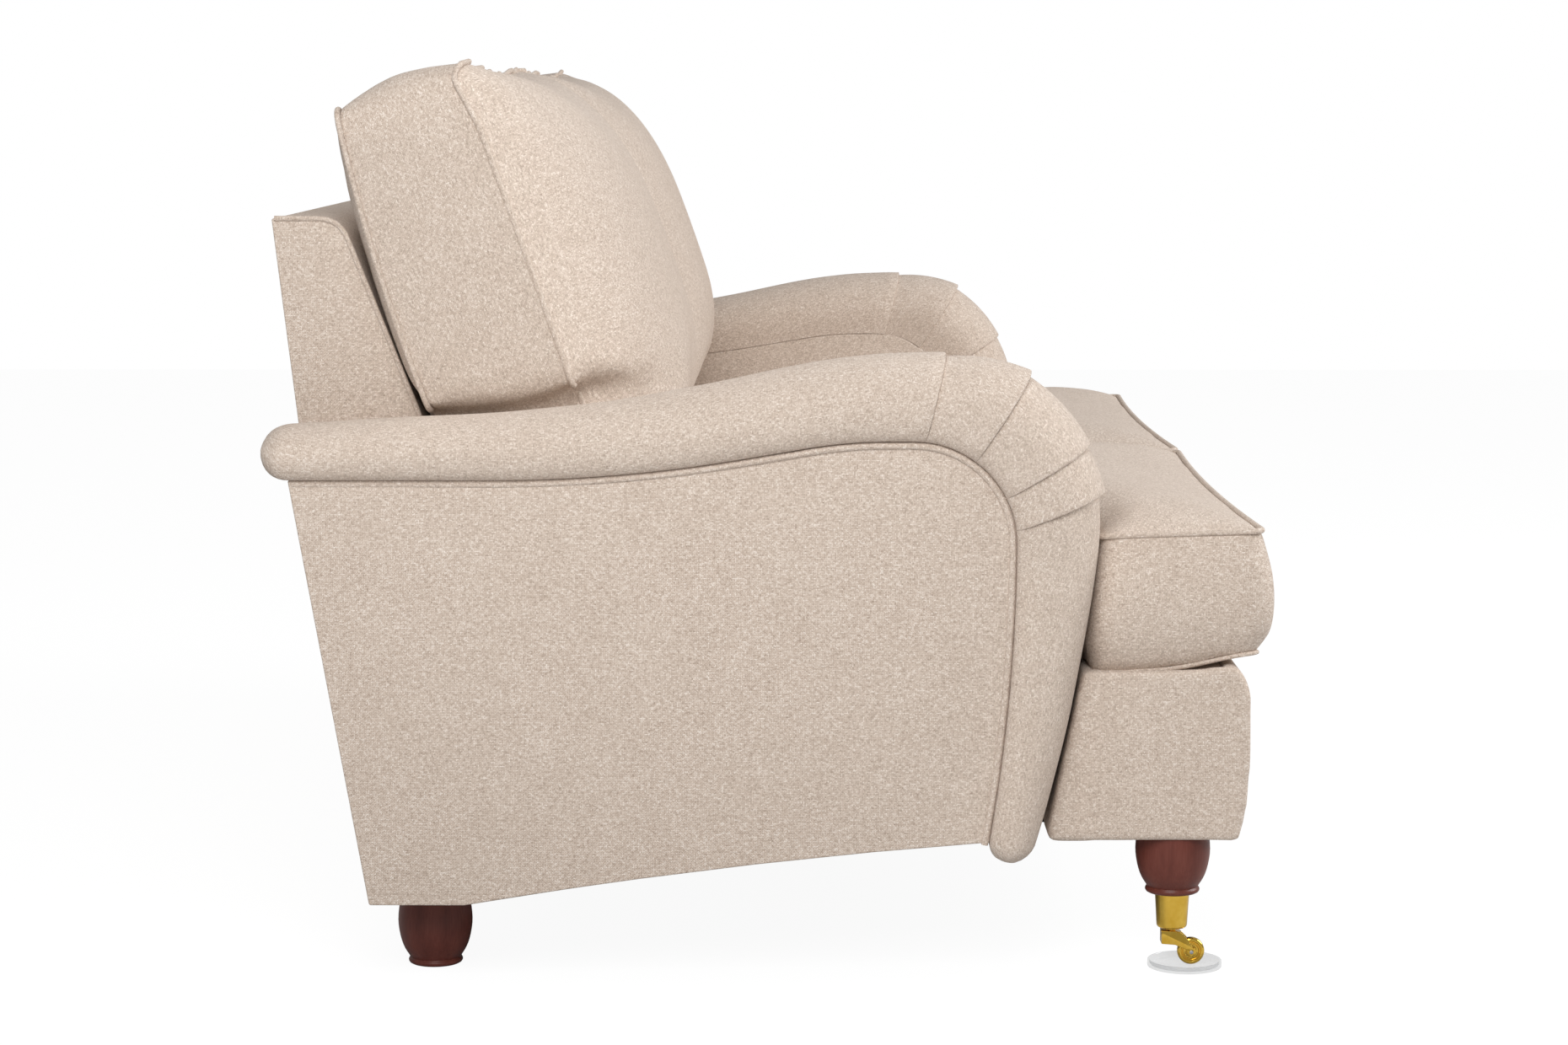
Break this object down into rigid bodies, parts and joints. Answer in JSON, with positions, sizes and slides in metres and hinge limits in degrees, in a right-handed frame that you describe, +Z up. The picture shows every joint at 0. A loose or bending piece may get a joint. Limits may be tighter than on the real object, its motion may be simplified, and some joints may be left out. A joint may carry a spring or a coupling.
{
  "type": "roll arm sofa",
  "caption": "Two-seat upholstered sofa with pleated roll arms, loose T-shaped seat and back cushions, turned wooden feet and brass front castors in clear floor cups.",
  "frame": {"origin": "on the floor under the middle of the sofa's box", "axes": "+X across the sofa, -Y out of its front, +Z up"},
  "size_m": [1.7, 0.9819, 0.8851],
  "materials": {
    "upholstery": "oatmeal linen weave with pale and dark flecks",
    "turned_wood": "dark red-brown stain under satin lacquer",
    "frame_timber": "planed hardwood",
    "plywood": "birch plywood",
    "brass": "polished brass",
    "steel": "zinc plated steel",
    "clear_plastic": "clear moulded plastic",
    "webbing": "woven elastic webbing",
    "dust_cloth": "black nonwoven cloth"
  },
  "bodies": {
    "root": {"arm_front_post_left": "frame_timber", "arm_front_post_right": "frame_timber", "arm_inner_pad_left": "upholstery", "arm_inner_pad_right": "upholstery", "arm_inner_ply_left": "plywood", "arm_inner_ply_right": "plywood", "arm_outer_panel_left": "upholstery", "arm_outer_panel_right": "upholstery", "arm_outer_ply_left": "plywood", "arm_outer_ply_right": "plywood", "arm_roll_left": "upholstery", "arm_roll_right": "upholstery", "arm_spacer_blocks": "frame_timber", "back_centre_post": "frame_timber", "back_end_panel_left": "upholstery", "back_end_panel_right": "upholstery", "back_lower_rail": "frame_timber", "back_post_left": "frame_timber", "back_post_right": "frame_timber", "back_top_rail": "frame_timber", "back_webbing": "webbing", "base_ear_cover_left": "upholstery", "base_ear_cover_right": "upholstery", "castor_ferrules": "brass", "deck_pad": "upholstery", "dust_cloth": "dust_cloth", "front_base_cover": "upholstery", "front_leg_block_left": "frame_timber", "front_leg_block_right": "frame_timber", "front_legs": "turned_wood", "hanger_bolts": "steel", "inside_back_pad": "upholstery", "outer_back_panel": "upholstery", "rear_feet": "turned_wood", "rear_leg_block_left": "frame_timber", "rear_leg_block_right": "frame_timber", "seat_centre_rail": "frame_timber", "seat_cross_rail": "frame_timber", "seat_front_rail": "frame_timber", "seat_rear_rail": "frame_timber", "seat_side_rail_left": "frame_timber", "seat_side_rail_right": "frame_timber", "seat_webbing_cross": "webbing", "seat_webbing_long": "webbing"},
    "swivel_left": {"castor_fork_left": "brass", "castor_axle_left": "steel", "castor_cup_left": "clear_plastic"},
    "swivel_right": {"castor_fork_right": "brass", "castor_axle_right": "steel", "castor_cup_right": "clear_plastic"},
    "wheel_left": {"castor_wheel_left": "brass"},
    "wheel_right": {"castor_wheel_right": "brass"},
    "seat_cushion_left": {"seat_cushion_left": "upholstery"},
    "seat_cushion_right": {"seat_cushion_right": "upholstery"},
    "back_cushion_left": {"back_cushion_left": "upholstery"},
    "back_cushion_right": {"back_cushion_right": "upholstery"}
  },
  "joints": [
    {"name": "castor_swivel_left", "type": "hinge", "parent": "root", "child": "swivel_left", "pos_m": [-0.755, -0.395, 0.037], "axis": [0, 0, 1], "continuous": true},
    {"name": "castor_swivel_right", "type": "hinge", "parent": "root", "child": "swivel_right", "pos_m": [0.755, -0.395, 0.037], "axis": [0, 0, 1], "continuous": true},
    {"name": "castor_roll_left", "type": "hinge", "parent": "swivel_left", "child": "wheel_left", "pos_m": [-0.755, -0.414, 0.0157], "axis": [1, 0, 0], "continuous": true},
    {"name": "castor_roll_right", "type": "hinge", "parent": "swivel_right", "child": "wheel_right", "pos_m": [0.755, -0.414, 0.0157], "axis": [1, 0, 0], "continuous": true},
    {"name": "seat_cushion_out_left", "type": "slide", "parent": "root", "child": "seat_cushion_left", "axis": [0, -0.9994, 0.0349], "range_m": [0, 0.75]},
    {"name": "seat_cushion_out_right", "type": "slide", "parent": "root", "child": "seat_cushion_right", "axis": [0, -0.9994, 0.0349], "range_m": [0, 0.75]},
    {"name": "back_cushion_out_left", "type": "slide", "parent": "root", "child": "back_cushion_left", "axis": [0, 0.3338, 0.9426], "range_m": [0, 0.48]},
    {"name": "back_cushion_out_right", "type": "slide", "parent": "root", "child": "back_cushion_right", "axis": [0, 0.3338, 0.9426], "range_m": [0, 0.48]}
  ]
}
